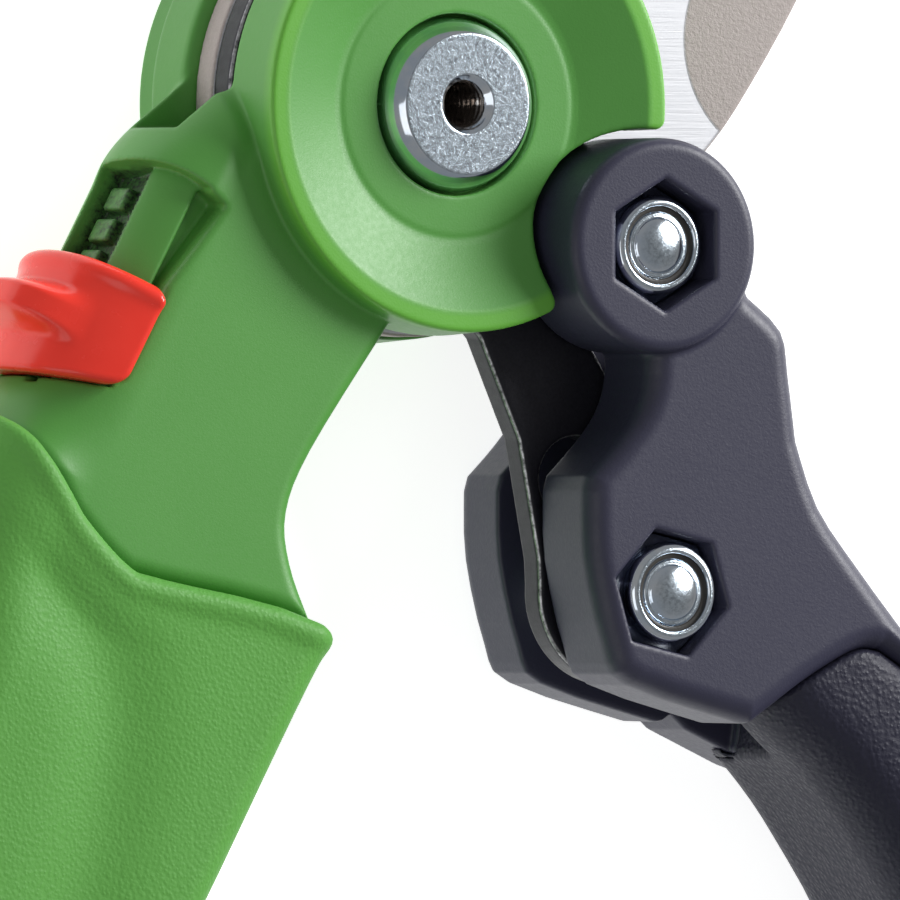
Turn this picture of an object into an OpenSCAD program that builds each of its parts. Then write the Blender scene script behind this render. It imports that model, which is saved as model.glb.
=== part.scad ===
// Compound-lever bypass pruning shears.
// Origin: axis of the main pivot, on the cutting plane between blade and counter jaw.
// +Z runs along the pivot axes towards the nut side, +Y points towards the jaws.
// The shears are drawn open, as the return spring holds them.

/* [Head] */
// Outer radius of the dished head cheeks
head_r = 20.6; // [20.2:0.1:21]
// Radius of the steel hubs of jaw and blade
hub_r = 21; // [20.8:0.05:21.1]
// Thickness of the steel plates
plate_t = 3; // [2.8:0.1:3]
// Gap between the two steel plates
plate_gap = 0.3; // [0.2:0.05:0.3]
// Depth of the dish in each cheek
dish_depth = 2.4; // [1.5:0.1:2.6]

/* [Pivots] */
// Fulcrum of the lever handle, X
fulcrum_x = 18.4; // [18.2:0.1:18.6]
// Fulcrum of the lever handle, Y
fulcrum_y = -12.7; // [-12.9:0.1:-12.5]
// Drive bolt in the blade tail, X
drive_x = 19.9; // [19.7:0.1:20.1]
// Drive bolt in the blade tail, Y
drive_y = -44.2; // [-44.4:0.1:-44]
// Bolt size of the fork, nominal diameter
bolt_d = 6; // [6]
// Radius of the sleeve that the blade turns on
sleeve_r = 5; // [4.8:0.1:5]

/* [Motion] */
// Angle that the lever handle closes by
lever_travel = 42; // [36:1:42]
// Angle that the blade closes by
blade_travel = 26.66; // [22:0.1:26.66]
// Travel of the thumb lock along the neck
lock_travel = 9; // [6:0.5:9]

/* [Handles] */
// Angle between the neck of the fixed handle and -Y
neck_lean = 29; // [28:0.5:30]
// Depth of rounding of the grips
grip_round = 5; // [3:0.5:5]

/* [Hidden] */
$fn = 72;
eps = 0.01;
big = 400;
// Reach of a cut that goes right through along Z
through = 20;

// Levels along Z
half_gap = plate_gap / 2;
blade_top = half_gap + plate_t;
jaw_bottom = -half_gap - plate_t;
slot_top = blade_top + 0.3;
neck_front = 7.5;
neck_back = -9.6;
neck_mid = (neck_front + neck_back) / 2;
neck_half = (neck_front - neck_back) / 2;
rim_front = 10.3;
rim_back = -12.4;
fork_front = 12.6;
fork_back = -12.2;
boss_front = 14;
fork_gap_back = -4.45;
sleeve_face = 9.9;

// Radii
flange_r = 22.2;
// Step from the neck's faces down to the shoulder's
shoulder_step = 0.4;
counterbore_r = 8.25;
counterbore_depth = 2;
dish_floor_r = 12.5;
dish_rim_r = 18.5;
boss_r = 9.75;
pocket_r = boss_r + 0.85;
bolt_r = bolt_d / 2;
nut_af = 10;
nut_recess_af = nut_af + 0.4;
nut_z = 7;
nut_h = 6;
nut_mouth_r = 3.55;
insert_r = 3.9;
insert_back = 11.3;
insert_front = 12.4;
head_recess_z = -9.4;
head_recess_r = 5.4;
spacer_r = 5.5;
bush_r = 4.6;
drive_sleeve_r = 3.4;
slot_clear = 0.45;
running_fit = 0.05;

fulcrum = [fulcrum_x, fulcrum_y];
drive = [drive_x, drive_y];
drive_dist = norm(drive);
tail_angle = atan2(drive_y, drive_x);
fulcrum_angle = atan2(fulcrum_y, fulcrum_x);
// Distance of the drive bolt from the main pivot when the shears are closed
lever_arm = drive - fulcrum;
closed_drive = fulcrum + [
    lever_arm[0] * cos(lever_travel) + lever_arm[1] * sin(lever_travel),
    lever_arm[1] * cos(lever_travel) - lever_arm[0] * sin(lever_travel)
];
closed_dist = norm(closed_drive);
// Main pivot as the closed lever sees it, and the tail's end there
closed_pivot = fulcrum + [
    fulcrum_y * sin(lever_travel) - fulcrum_x * cos(lever_travel),
    -fulcrum_x * sin(lever_travel) - fulcrum_y * cos(lever_travel)
];
closed_tail = closed_pivot + (drive - closed_pivot) * drive_dist / norm(drive - closed_pivot);
tail_end_r = 8.5;
jaw_lean = 32;
blade_lean = jaw_lean - blade_travel;

// ---------- helpers ----------

// Catmull-Rom point at t between b and c
function span(a, b, c, d, t) =
    0.5 * (2 * b + (c - a) * t + (2 * a - 5 * b + 4 * c - d) * t * t + (3 * b - a - 3 * c + d) * t * t * t);

// Smooth curve through a list of points, n steps between each pair
function smooth(p, n = 4) = concat(
    [for (i = [0 : len(p) - 2]) for (k = [0 : n - 1])
        span(p[max(i - 1, 0)], p[i], p[i + 1], p[min(i + 2, len(p) - 1)], k / n)],
    [p[len(p) - 1]]
);

function unit(v) = v / norm(v);

// Points beside a centre line of [x, y, half width]; side is 1 or -1
function beside(p, side, inset) = [for (i = [0 : len(p) - 1])
    let (a = p[max(i - 1, 0)], b = p[min(i + 1, len(p) - 1)], t = unit([b[0] - a[0], b[1] - a[1]]))
    [p[i][0], p[i][1]] + side * max(p[i][2] - inset, 0.2) * [-t[1], t[0]]
];

function reversed(p) = [for (i = [len(p) - 1 : -1 : 0]) p[i]];

// Outline of a handle from its centre line
module ribbon(p, inset = 0) {
    s = smooth(p);
    polygon(concat(beside(s, 1, inset), reversed(beside(s, -1, inset))));
}

// Handle with rounded long edges, as a stack of nested slabs
module rounded_ribbon(p, z0, z1, r) {
    for (a = [0 : 30 : 90])
        translate([0, 0, z0 + r * (1 - sin(a))])
            linear_extrude(z1 - z0 - 2 * r * (1 - sin(a))) ribbon(p, r * (1 - cos(a)));
}

// Flat plate between two levels; each outline is its own solid, so that they join in one piece
module plate(z0, z1) {
    for (i = [0 : $children - 1])
        translate([0, 0, z0]) linear_extrude(z1 - z0) children(i);
}

module rod(z0, z1, r) {
    translate([0, 0, z0]) cylinder(h = z1 - z0, r = r);
}

module tube(z0, z1, r_out, r_in) {
    difference() {
        rod(z0, z1, r_out);
        rod(z0 - 1, z1 + 1, r_in);
    }
}

// Hexagonal prism, af across flats, turned by a degrees
module hex(z0, z1, af, a = 0) {
    translate([0, 0, z0]) rotate([0, 0, a]) cylinder(h = z1 - z0, r = af / 2 / cos(30), $fn = 6);
}

// Frame of the neck: -Y runs down the neck, -X points out of its back
module along_neck() {
    rotate([0, 0, -neck_lean]) children();
}

module at_fulcrum() {
    translate([fulcrum_x, fulcrum_y, 0]) children();
}

module at_drive() {
    translate([drive_x, drive_y, 0]) children();
}

// Pie slice from angle a to b
module sector(r, a, b) {
    steps = 12;
    turns = [for (i = [0 : steps]) a + (b - a) * i / steps];
    polygon(concat([[0, 0]], [for (t = turns) r * [cos(t), sin(t)]]));
}

// Slot of half width w along an arc of radius r, with round ends
module arc_slot(z0, z1, r, w, a, b) {
    plate(z0, z1) {
        intersection() {
            difference() {
                circle(r + w);
                circle(r - w);
            }
            sector(big, a, b);
        }
        rotate(a) translate([r, 0]) circle(w);
        rotate(b) translate([r, 0]) circle(w);
    }
}

// Straight slot of half width w along X
module straight_slot(z0, z1, x0, x1, w) {
    plate(z0, z1) {
        translate([x0, -w]) square([x1 - x0, 2 * w]);
        translate([x0, 0]) circle(w);
        translate([x1, 0]) circle(w);
    }
}

// ---------- fixed handle ----------

// Neck outline in the neck frame
neck_right = [
    [8, -10], [4.6, -18], [4, -22], [2.6, -34.5], [3.1, -40.5], [5.6, -44.3], [9.6, -47.6], [12.4, -49.4]
];
// Edge of the neck's back where it runs up into the head
neck_top = [[-24.6, -20.4], [-23.9, -17.3], [-22.7, -14.7], [-21.7, -12.4], [-20.2, -9.2], [-16, -5]];
// Centre of the neck's rounded back
spine_u = -15.6;
// Flare of the neck's back down to the grip
flare_top = -42;
flare_bottom = -49;
flare_step = 2.4;
// Reaches past the neck: out of its back, down inside the grip and up inside the head
past_back = -40;
past_grip = -70;
past_head = 5;
// Upper edge of the fixed handle's grip, in the neck frame
grip_edge = smooth([
    [-40, -46], [-28, -46.8], [-24.4, -47.4], [-21.8, -48.6], [-18.6, -50.3], [-15.7, -51.8],
    [-10.1, -53.3], [-6.4, -52.6], [10, -48.2], [30, -49.6]
]);
// Centre line and half width of the grip, in the neck frame
grip_line = [
    [-8, -41, 20.4], [-8, -50, 20.4], [-6.6, -62, 18.8], [-5.4, -78, 17.6], [-4.6, -96, 16.2],
    [-3, -115, 15.4], [2, -133, 14.2], [7, -146, 11.8], [9.4, -152, 7.5], [10.2, -154, 2]
];
grip_front = 10.2;
grip_back = -12.2;
core_front = 5;
core_back = -7;
core_inset = 6;

module grip_zone() {
    polygon(concat(grip_edge, [[60, -200], [-80, -200]]));
}

// Rod along the neck's rounded back between two places on the neck
module spine_rod(v0, v1, r, r_top = 0) {
    translate([spine_u, v0, neck_mid]) rotate([-90, 0, 0])
        cylinder(h = v1 - v0, r1 = r, r2 = r_top > 0 ? r_top : r);
}

// Neck with its flat faces and its fully rounded back
module neck() {
    intersection() {
        plate(neck_back, neck_front) difference() {
            polygon(concat(
                smooth(neck_right, 3), [[12.5, -60], [-32, -60], [-32, -22]], smooth(neck_top, 3)
            ));
            grip_zone();
        }
        union() {
            block([spine_u, past_grip, -through], [big, past_head, through]);
            spine_rod(past_grip, past_head, neck_half);
            spine_rod(flare_bottom, flare_top, neck_half + flare_step, neck_half);
        }
    }
}

// Flared shoulder of the head on its back side
module shoulder() {
    intersection() {
        circle(flange_r);
        sector(big, 112, 215);
    }
}

// Dish and counterbore of the front cheek, with the rim at z = 0
module dish() {
    translate([0, 0, -dish_depth]) cylinder(h = dish_depth + eps, r1 = dish_floor_r, r2 = dish_rim_r);
    rod(-dish_depth - counterbore_depth, eps, counterbore_r);
}

// Space for plates and blade in the head
module head_slot() {
    plate(jaw_bottom, slot_top) {
        circle(hub_r + 0.4);
        translate([-60, -1]) square([90, 60]);
        translate([0, -60]) square([60, 90]);
    }
}

// Tang of the jaw, moulded into the neck
module tang_outline() {
    along_neck() polygon([[-13, 0], [0, 0], [0, -60], [-2, -78], [-7, -78], [-13, -60]]);
}

// Thumb lock along the neck; its lower edge slants
slider_top = -29.6;
slider_bottom = -39.4;
slider_slant = 0.33;
track_top = slider_top + lock_travel + 0.9;
track_end_gap = 0.6;
// Depth of the track below the neck's back, and the side grooves beside it
track_step = 0.9;
groove_left = -18.4;
groove_right = -17;
groove_depth = 2.9;
slider_wall = 2.6;
// Shallow channel down the track's back, with its row of pads
channel_floor = -21.4;
channel_back = -3.3;
channel_front = 2.7;
pad_top = -23;
pad_start = 2.6;
pad_pitch = 3.2;
pad_size = 2.3;
pad_back = -2.2;
pad_front = 1.1;
// Bar that stops the blade, in its own slot under the channel, and the slit for the web that carries it
bar_left = -20.6;
bar_right = -17;
bar_bottom = -38.4;
bar_top = -22.2;
bar_front = half_gap + 2.8;
// Length of the bar's slot beyond its travel, so that it opens into the head's slot
bar_slot_over = 5.2;
web_back = 1.6;
web_front = 2.4;
// Bow spring of the lock's detent
detent_back = -6.6;
detent_front = -4.6;
detent_floor = -19.1;
detent_top = -30.2;
detent_bottom = -39;
detent_t = 0.5;

// Box in the neck frame between two corners
module block(low, high) {
    translate(low) cube(high - low);
}

// Everything in the neck frame above the slider's lower edge, less a gap, and below a level v1
module above_slant(v1, gap) {
    plate(-through, through) polygon([
        [0, v1], [past_back, v1],
        [past_back, slider_bottom + slider_slant * (past_back - groove_left) - gap],
        [0, slider_bottom - slider_slant * groove_left - gap]
    ]);
}

// Channel down the back of the track, less its pads
module channel() {
    difference() {
        block([past_back, past_grip, channel_back], [channel_floor, track_top, channel_front]);
        for (v = [track_top - pad_start : -pad_pitch : slider_bottom - pad_size])
            block([pad_top, v - pad_size / 2, pad_back], [channel_floor + 1, v + pad_size / 2, pad_front]);
    }
}

// Track of the thumb lock: lowered back, side grooves, channel, slot of the lock bar and detent's pocket
module lock_track() {
    along_neck() {
        intersection() {
            above_slant(track_top, track_end_gap);
            union() {
                difference() {
                    block([past_back, past_grip, -through], [groove_left, track_top, through]);
                    spine_rod(past_grip - 1, track_top + 1, neck_half - track_step);
                }
                difference() {
                    block([groove_left - eps, past_grip, -through], [groove_right, track_top, through]);
                    block([past_back, past_grip - 1, neck_back + groove_depth],
                        [0, 0, neck_front - groove_depth]);
                }
                channel();
                block([past_back, past_grip, web_back - 0.3], [bar_left, track_top, web_front + 0.3]);
            }
        }
        block([bar_left - 0.3, bar_bottom - 0.6, -half_gap],
            [bar_right + 0.3, bar_top + lock_travel + bar_slot_over, bar_front + 0.3]);
        block([past_back, detent_bottom - 0.3, detent_back - 0.4],
            [detent_floor, detent_top + 0.3, detent_front + 0.4]);
    }
}

module handle_body() {
    color("#5FA550")
    difference() {
        union() {
            plate(rim_back, rim_front) circle(head_r);
            plate(neck_back + shoulder_step, jaw_bottom + 1) shoulder();
            along_neck() neck();
            along_neck() plate(core_back, core_front) ribbon(grip_line, core_inset);
        }
        head_slot();
        plate(jaw_bottom, -half_gap) tang_outline();
        translate([0, 0, rim_front]) dish();
        translate([0, 0, rim_back]) mirror([0, 0, 1]) dish();
        rod(-through, through, sleeve_r);
        at_fulcrum() rod(-through, through, pocket_r);
        lock_track();
    }
}

module handle_grip() {
    color("#57A04A")
    along_neck() difference() {
        intersection() {
            rounded_ribbon(grip_line, grip_back, grip_front, grip_round);
            plate(-through, through) grip_zone();
        }
        plate(core_back, core_front) ribbon(grip_line, core_inset);
    }
}

// Hook of the jaw in its own frame, +Y towards the tip
jaw_outer = smooth([[28.2, 12], [29.1, 18], [29.3, 30], [28, 41], [23.4, 52], [15.2, 61.5], [5, 68.5]]);
jaw_inner = smooth([[4.6, 68.2], [8.2, 60], [11.2, 50], [12.8, 39], [13.2, 28], [12.6, 15]]);

module counter_jaw() {
    color("#B9AEA5")
    difference() {
        plate(jaw_bottom, -half_gap) {
            circle(hub_r);
            rotate(-jaw_lean) polygon(concat([[20, 4]], jaw_outer, jaw_inner, [[0, 4]]));
            translate(fulcrum) circle(8.5);
            polygon([[24, 4], [26, -2], [26.8, -11], [10, -20], [0, 0]]);
            tang_outline();
        }
        rod(-through, through, sleeve_r);
        at_fulcrum() {
            rod(-through, through, bush_r);
            rotate([0, 0, spring_turn + 360 * coil_turns]) translate([coil_r, 0, 0])
                rod(-through, through, wire_r + 0.2);
        }
    }
}

module fulcrum_bush() {
    color("#B08D57") at_fulcrum() tube(jaw_bottom, -half_gap, bush_r, bolt_r + running_fit);
}

module pivot_sleeve() {
    color("#C9CDD1")
    rotate_extrude() polygon([
        [2.1, -1.5], [2.1, sleeve_face - 0.6], [2.7, sleeve_face], [6.55, sleeve_face], [7, 9.5], [7.5, 8.7],
        [7.85, 7.6], [8, 6.4], [8, 5.9], [sleeve_r, 5.9], [sleeve_r, -7.9], [2.5, -7.9], [2.5, -1.5]
    ]);
}

module pivot_screw() {
    color("#C9CDD1")
    difference() {
        union() {
            rotate_extrude() polygon([[0, -11.8], [3, -11.8], [4.4, -11], [4.75, -9.9], [4.75, -9], [0, -9]]);
            rod(-9, -1.7, 2.5);
        }
        hex(-12, -9.8, 3);
    }
}

module pivot_spring_washer() {
    color("#A9ADB3")
    rotate_extrude() polygon([[2.6, -9], [5.2, -9], [7.8, -8.7], [7.8, -8], [5.4, -8.3], [2.6, -8.3]]);
}

// ---------- blade ----------

// Blade in its own frame, +Y towards the tip, cutting edge on +X
blade_edge = smooth([[2.6, 69.4], [7.6, 61], [12, 49], [14.4, 37], [14.8, 26], [13.4, 12]]);
blade_spine = smooth([[-18.4, 8], [-15.6, 22], [-12.4, 38], [-8.4, 52], [-3.6, 63.5], [1.6, 69.8]]);

// Tail of the blade in the tail frame, +X towards the drive bolt
tail_left = [[10, -9], [17, -5.4], [21.4, -3.9], [31.5, -4], [42.2, -6.6], [46, -8.1]];
tail_right = [[46, 8.1], [40, 7.8], [29, 6.8], [19, 5.5], [10, 8]];

blade_bush_r = 6.5;
// Raised part of the hub that meets the thumb lock, and the lower hub round the rest
hub_step = 1.2;
step_from = 135;
step_to = 207;

module blade() {
    color("#34333A")
    difference() {
        plate(half_gap, blade_top) {
            intersection() {
                circle(hub_r);
                sector(big, step_from, step_to);
            }
            circle(hub_r - hub_step);
            rotate(-blade_lean) polygon(concat(blade_spine, blade_edge));
            rotate(tail_angle) polygon(concat(tail_left, tail_right));
            translate(drive) circle(tail_end_r);
        }
        rod(-through, through, blade_bush_r);
        arc_slot(0, slot_top, norm(fulcrum), spacer_r + 0.4, fulcrum_angle, fulcrum_angle + blade_travel);
        rotate([0, 0, tail_angle])
            straight_slot(0, slot_top, closed_dist, drive_dist, drive_sleeve_r + slot_clear);
    }
}

module blade_bush() {
    color("#B08D57") tube(half_gap, blade_top, blade_bush_r, sleeve_r + running_fit);
}

// ---------- thumb lock ----------

// Thumb rest across the slider's back, in the neck frame
thumb_rest = smooth([
    [-23.5, -30.6], [-26.9, -32.2], [-29.3, -34.6], [-29.6, -36.6], [-27.6, -38.8], [-24, -39.8]
]);
rest_reach = 6.2;

module lock_slider() {
    inner_r = neck_half - track_step + 0.3;
    hook_left = groove_left + 0.3;
    hook_right = groove_right - 0.3;
    color("#E0402B")
    along_neck() {
        difference() {
            intersection() {
                union() {
                    spine_rod(past_grip, slider_top, inner_r + slider_wall);
                    plate(neck_mid - rest_reach, neck_mid + rest_reach)
                        polygon(concat(thumb_rest, [[-20, -35]]));
                }
                above_slant(slider_top, 0);
            }
            intersection() {
                spine_rod(past_grip - 1, slider_top + 1, inner_r);
                block([past_back, past_grip - 1, -through], [hook_left, slider_top + 1, through]);
            }
            block([hook_right, past_grip - 1, -through], [0, slider_top + 1, through]);
            block([hook_left - eps, past_grip - 1, neck_back + groove_depth - 0.3],
                [0, slider_top + 1, neck_front - groove_depth + 0.3]);
        }
        block([spine_u - inner_r - 1, bar_bottom, web_back], [bar_left, slider_top, web_front]);
    }
}

module lock_bar() {
    color("#4A4A4E")
    along_neck() plate(half_gap, bar_front) polygon([
        [bar_left, bar_bottom], [bar_right, bar_bottom], [bar_right, bar_top - 1], [bar_right - 1, bar_top],
        [bar_left, bar_top]
    ]);
}

module detent_spring() {
    color("#8C9096")
    along_neck() plate(detent_back, detent_front) {
        bow = smooth([
            [-19.6, detent_bottom], [-20.3, -36.8], [-20.7, -34.6], [-20.3, -32.4], [-19.6, detent_top]
        ]);
        polygon(concat(bow, reversed([for (p = bow) p + [detent_t, 0]])));
    }
}

// ---------- lever handle ----------

// Outline of the fork, from the window beside the boss round to the grip
fork_outline = concat(
    smooth([[17.8, -20], [17.9, -24.5], [16.9, -27.8], [14.6, -30.8], [11.8, -33.6]], 3),
    smooth([[11.4, -35], [11.6, -41.3], [13.6, -49.2], [16.1, -52.6], [28.6, -56.3]], 3),
    [[33, -58.6], [40, -63], [50, -57], [49.4, -53.4], [47.6, -50.2]],
    smooth([
        [44.8, -47.2], [40.4, -42], [36.1, -36.4], [33.8, -30.4], [33, -24.5], [32.2, -20.4], [28.7, -17.3]
    ], 3),
    [[26.5, -13], [fulcrum_x, fulcrum_y]]
);
// Upper edge of the lever's grip
lever_edge = smooth([
    [20, -60], [27, -57.2], [30.6, -55], [33.9, -52.8], [37.2, -50.9],
    [40, -49.6], [42, -49.5], [44.6, -50.6], [60, -60]
]);
// Centre line and half width of the lever's grip
lever_line = [
    [31, -43, 8.2], [38.4, -51.5, 7.7], [42.8, -55.3, 7.7], [49.2, -61.6, 8.7],
    [56.9, -71.7, 10], [63.1, -85.6, 11.8], [67.6, -101.8, 13.4],
    [70, -118, 14], [71, -131, 13], [70.8, -140, 9.6], [70.4, -144, 5.6], [70.2, -145.4, 2]
];
lever_grip_front = 12.2;
lever_grip_back = -12.2;
lever_core = 6.4;
lever_inset = 4;

// Tongue of the rear ear that runs on under the edge of the grip
module rear_tongue() {
    plate(fork_back + 0.4, fork_gap_back + 1)
        polygon([[27, -53], [31.4, -56.9], [38.6, -60.2], [44, -62], [45, -52]]);
}

module lever_zone() {
    polygon(concat(lever_edge, [[130, -60], [130, -200], [0, -200], [0, -60]]));
}

// Gap of the fork that the blade's tail swings in
module fork_gap() {
    plate(fork_gap_back, slot_top) {
        polygon(concat(
            [[-30, 40], [27, 10], [29.4, -8]],
            smooth([
                [29.6, -16], [30.4, -30], [31.4, -41], [36, -49], [36.6, -54], [35.6, -60], [32, -64]
            ], 3),
            [[20, -72], [-30, -60]]
        ));
        translate(closed_tail) circle(tail_end_r + 0.5);
    }
}

module fork_bores() {
    at_fulcrum() {
        rod(-through, through, bolt_r);
        hex(nut_z, through, nut_recess_af, 30);
        rod(-through, head_recess_z, head_recess_r);
        tube(coil_pocket_z, slot_top, coil_pocket_r, coil_post_r);
        rotate([0, 0, spring_turn]) translate([coil_r, -leg_slot[1] / 2, coil_pocket_z]) cube(leg_slot);
    }
    at_drive() {
        rod(-through, through, bolt_r);
        hex(nut_z, through, nut_recess_af, 46.7);
        rod(-through, head_recess_z, head_recess_r);
    }
}

module lever_fork() {
    color("#39373F")
    difference() {
        union() {
            at_fulcrum() rod(fork_back, boss_front, boss_r);
            plate(fork_back, fork_front) difference() {
                polygon(fork_outline);
                lever_zone();
            }
            plate(-lever_core, lever_core) ribbon(lever_line, lever_inset);
            rear_tongue();
        }
        fork_gap();
        fork_bores();
    }
}

module lever_grip() {
    color("#2F2E34")
    difference() {
        intersection() {
            rounded_ribbon(lever_line, lever_grip_back, lever_grip_front, grip_round);
            plate(-through, through) lever_zone();
        }
        plate(-lever_core, lever_core) ribbon(lever_line, lever_inset);
        rear_tongue();
        fork_gap();
    }
}

// Bolt with a low round head behind and a domed end in the nut
module fork_bolt() {
    difference() {
        rotate_extrude() polygon([
            [0, -11.9], [3.4, -11.9], [4.6, -11.2], [5, -10.2], [5, head_recess_z], [bolt_r, head_recess_z],
            [bolt_r, 12.4], [2.7, 13], [1.6, 13.3], [0, 13.4]
        ]);
        hex(-12, -10.4, 4);
    }
}

module fork_bolts() {
    color("#C9CDD1") {
        at_fulcrum() fork_bolt();
        at_drive() fork_bolt();
    }
}

module lock_nut(a) {
    difference() {
        union() {
            hex(nut_z, nut_z + 4.3, nut_af, a);
            rotate_extrude() polygon([
                [0, nut_z], [4.5, nut_z], [4.5, 12], [4.35, 12.6], [4, nut_z + nut_h], [3.7, nut_z + nut_h],
                [nut_mouth_r, 12.7], [nut_mouth_r, 12.5], [0, 12.5]
            ]);
        }
        rod(0, through, bolt_r);
        rod(insert_back, 12.5, insert_r);
        rod(insert_front, through, nut_mouth_r);
    }
}

module lock_nuts() {
    color("#D5D9DC") {
        at_fulcrum() lock_nut(30);
        at_drive() lock_nut(46.7);
    }
}

module nut_inserts() {
    color("#4B4640") {
        at_fulcrum() tube(insert_back, insert_front, insert_r, bolt_r);
        at_drive() tube(insert_back, insert_front, insert_r, bolt_r);
    }
}

module fulcrum_spacer() {
    color("#9DA1A6") at_fulcrum() tube(half_gap, slot_top, spacer_r, bolt_r);
}

module fulcrum_washer() {
    color("#9DA1A6") at_fulcrum() tube(fork_gap_back, -3.45, 4.9, bolt_r);
}

module drive_sleeve() {
    color("#9DA1A6") at_drive() tube(0, slot_top, drive_sleeve_r, bolt_r);
}

module drive_spacer() {
    color("#9DA1A6") at_drive() tube(fork_gap_back, 0, spacer_r, bolt_r);
}

// Torsion spring round the fulcrum, in the rear boss
wire_r = 0.6;
coil_r = 6;
coil_turns = 1.55;
coil_z = -7.3;
coil_pitch = 1.35;
coil_steps = 40;
// Pocket for the coil in the rear boss, the post inside it and the slot for the lever leg
coil_pocket_z = -8;
coil_pocket_r = 8;
coil_post_r = 4.2;
leg_slot = [2.7, 1.6, 4];
// Angle of the spring's lever leg about the fulcrum
spring_turn = -60;

// Places along the wire: lever leg, coil, jaw leg
spring_path = concat(
    [for (k = [3 : -1 : 1]) [coil_r + k * 0.75, 0, coil_z]],
    [for (i = [0 : coil_steps]) let (a = 360 * coil_turns * i / coil_steps)
        [coil_r * cos(a), coil_r * sin(a), coil_z + coil_pitch * coil_turns * i / coil_steps]],
    [for (k = [1 : 4]) let (a = 360 * coil_turns)
        [coil_r * cos(a), coil_r * sin(a), coil_z + coil_pitch * coil_turns + k * 0.9]]
);

// Ring of the wire's wall at place i of a path
function wire_ring(p, i, r, sides) =
    let (
        t = unit(p[min(i + 1, len(p) - 1)] - p[max(i - 1, 0)]),
        u = unit(cross(t, [-p[i][1], p[i][0], 0.001])),
        v = cross(t, u)
    )
    [for (k = [0 : sides - 1]) p[i] + r * (cos(360 * k / sides) * u + sin(360 * k / sides) * v)];

module wire(p, r, sides = 8) {
    n = len(p);
    points = [for (i = [0 : n - 1]) each wire_ring(p, i, r, sides)];
    walls = [for (i = [0 : n - 2]) for (k = [0 : sides - 1])
        [i * sides + k, i * sides + (k + 1) % sides, (i + 1) * sides + (k + 1) % sides, (i + 1) * sides + k]];
    ends = [[for (k = [sides - 1 : -1 : 0]) k], [for (k = [0 : sides - 1]) (n - 1) * sides + k]];
    polyhedron(points, concat(walls, ends));
}

module return_spring() {
    color("#8C9096") at_fulcrum() rotate([0, 0, spring_turn]) wire(spring_path, wire_r);
}

handle_body();
handle_grip();
counter_jaw();
fulcrum_bush();
pivot_sleeve();
pivot_screw();
pivot_spring_washer();
blade();
blade_bush();
lock_slider();
lock_bar();
detent_spring();
lever_fork();
lever_grip();
fork_bolts();
lock_nuts();
nut_inserts();
fulcrum_spacer();
fulcrum_washer();
drive_sleeve();
drive_spacer();
return_spring();
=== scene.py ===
import math

import bpy
import numpy as np
from mathutils import Matrix, Vector


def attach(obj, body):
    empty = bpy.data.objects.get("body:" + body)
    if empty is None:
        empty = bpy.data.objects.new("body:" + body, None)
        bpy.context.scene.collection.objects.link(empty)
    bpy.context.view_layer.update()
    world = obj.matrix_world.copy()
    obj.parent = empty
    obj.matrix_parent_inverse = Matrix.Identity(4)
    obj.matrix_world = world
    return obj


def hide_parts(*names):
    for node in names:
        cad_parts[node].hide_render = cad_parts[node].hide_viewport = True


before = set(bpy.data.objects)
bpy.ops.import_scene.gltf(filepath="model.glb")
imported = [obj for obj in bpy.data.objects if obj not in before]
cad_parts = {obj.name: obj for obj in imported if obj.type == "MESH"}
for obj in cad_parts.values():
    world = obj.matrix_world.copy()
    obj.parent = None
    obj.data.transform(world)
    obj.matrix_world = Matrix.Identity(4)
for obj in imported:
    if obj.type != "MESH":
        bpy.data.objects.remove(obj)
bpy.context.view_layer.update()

MM = 0.001
COARSER = 1.0
# sides of the sampling cells
HEAD_CELL = 0.25
GRIP_CELL = 0.45
PLATE_CELL = (0.3, 0.3, 0.2)
SLIDER_CELL = 0.2
BOLT_CELL = 0.14
SLEEVE_CELL = 0.13
NUT_CELL = 0.11

# ---------- driving sizes, close to the solid model's ----------

HEAD_R = 20.6
HUB_R = 21.0
FLANGE_R = 22.2
RIM_FRONT = 10.3
RIM_BACK = -12.4
NECK_FRONT = 7.5
NECK_BACK = -9.6
SLOT_FRONT = 3.45
SLOT_BACK = -3.15
PLATE_GAP = 0.15
PLATE_T = 3.0
DISH_DEPTH = 2.4
DISH_FLOOR_R = 12.6
DISH_RIM_R = 18.8
COUNTERBORE_R = 8.25
COUNTERBORE_DEPTH = 2
HEAD_BORE_R = 5.1
HUB_CLEAR = 0.4
FULCRUM = (18.4, -12.7)
DRIVE = (19.9, -44.2)
BOSS_R = 9.75
BOSS_FRONT = 14.0
FORK_FRONT = 12.6
FORK_BACK = -12.2
FORK_GAP_BACK = -4.45
NECK_LEAN = math.radians(29)
JAW_LEAN = math.radians(32)
LEVER_TRAVEL = math.radians(42)
BLADE_TRAVEL = math.radians(26.66)
BLADE_LEAN = JAW_LEAN - BLADE_TRAVEL
SLEEVE_FACE = 9.9
SLEEVE_R = 5.0
SLEEVE_HEAD_R = 8.0
SLEEVE_SHOULDER = 5.9
NUT_Z = 7.0
NUT_AF = 10.0
NUT_RECESS_AF = NUT_AF + 0.4
FULCRUM_NUT_TURN = math.radians(90)
DRIVE_NUT_TURN = math.radians(46.7)
HEAD_RECESS_R = 5.4
HEAD_RECESS_Z = -9.4
POCKET_R = BOSS_R + 0.85
SHOULDER_FROM = math.radians(112)
SHOULDER_TO = math.radians(215)

# ---------- fields: signed distance in millimetres, negative inside ----------


def circle(x, y, cx, cy, r):
    """Signed distance to a circle."""
    return np.hypot(x - cx, y - cy) - r


def both(a, b, r=0.0):
    """Intersection, with its edge rounded by r."""
    if r <= 0:
        return np.maximum(a, b)
    corner = np.hypot(a + r, b + r) - r
    return np.where((a > -r) & (b > -r), corner, np.maximum(a, b))


def either(a, b, r=0.0):
    """Union, with a fillet of r in its corner."""
    return -both(-a, -b, r)


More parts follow.
